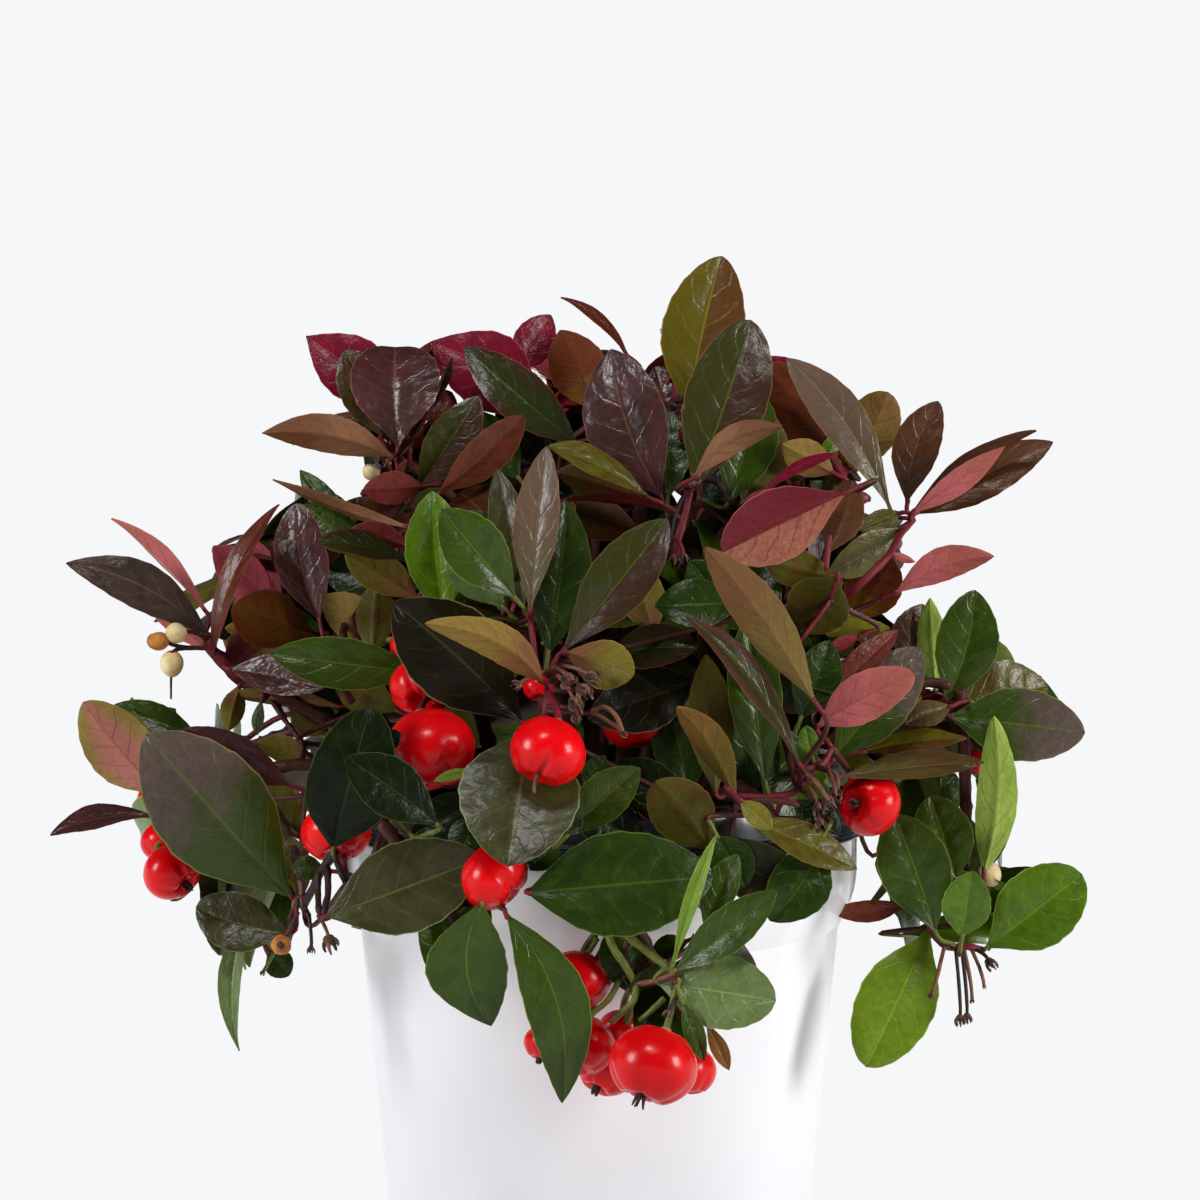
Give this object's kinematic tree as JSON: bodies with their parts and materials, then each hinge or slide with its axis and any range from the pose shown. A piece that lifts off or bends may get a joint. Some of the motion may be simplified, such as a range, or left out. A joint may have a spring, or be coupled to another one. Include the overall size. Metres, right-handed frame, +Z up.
{
  "type": "potted wintergreen",
  "caption": "Low evergreen wintergreen shrub: a dome of green and bronze leaves with red berries, spilling over a white cache pot.",
  "frame": {"origin": "centre of the pot's flat underside, on the surface that it stands on", "axes": "+Z up along the pot's axis; the front of the plant, as in the picture, faces -Y; +X is to the viewer's right"},
  "size_m": [0.204, 0.1695, 0.21],
  "materials": {
    "pot_white": "smooth white, glossy",
    "nursery_dark": "blue-black, glossy, ribbed lip",
    "peat": "moist dark peat",
    "bark": "thin red-brown bark",
    "leaves_green": "leathery, glossy green leaves",
    "leaves_olive": "leathery olive leaves with bronze shoots",
    "leaves_bronze": "leathery bronze and crimson leaves"
  },
  "bodies": {
    "root": {"white_pot": "pot_white", "nursery_pot": "nursery_dark", "root_ball": "peat", "root_crown": "bark", "crown_top": "leaves_bronze", "crown_top_left": "leaves_bronze", "crown_upper_left": "leaves_bronze", "crown_upper_right": "leaves_bronze", "front_centre": "leaves_olive", "left_centre": "leaves_olive", "right_centre": "leaves_olive", "right_cluster": "leaves_olive", "left_arm_leaves": "leaves_bronze", "right_arm_leaves": "leaves_bronze", "front_low": "leaves_green", "front_left_low": "leaves_green", "front_right_low": "leaves_green", "left_low": "leaves_green", "hanging_left": "leaves_green", "hanging_front_left": "leaves_green", "hanging_front_right": "leaves_green", "hanging_right": "leaves_green", "back_top": "leaves_bronze", "back_left": "leaves_olive", "back_right": "leaves_olive", "back_inner": "leaves_olive", "back_centre": "leaves_olive", "back_left_low": "leaves_green", "back_right_low": "leaves_green", "back_low": "leaves_green", "hanging_back": "leaves_green", "stem_top": "bark", "stem_top_left": "bark", "stem_upper_left": "bark", "stem_upper_right": "bark", "stem_back_top": "bark", "stem_front": "bark", "stem_left": "bark", "stem_right": "bark", "stem_back_left": "bark", "stem_back_right": "bark", "stem_back": "bark", "stem_left_low": "bark", "stem_right_low": "bark", "stem_front_left_low": "bark", "stem_front_right_low": "bark", "stem_back_left_low": "bark", "stem_back_right_low": "bark", "left_arm_stem": "bark", "right_arm_stem": "bark", "drooping_stem_right": "bark", "drooping_stem_front": "bark", "drooping_stem_front_left": "bark"}
  },
  "joints": []
}
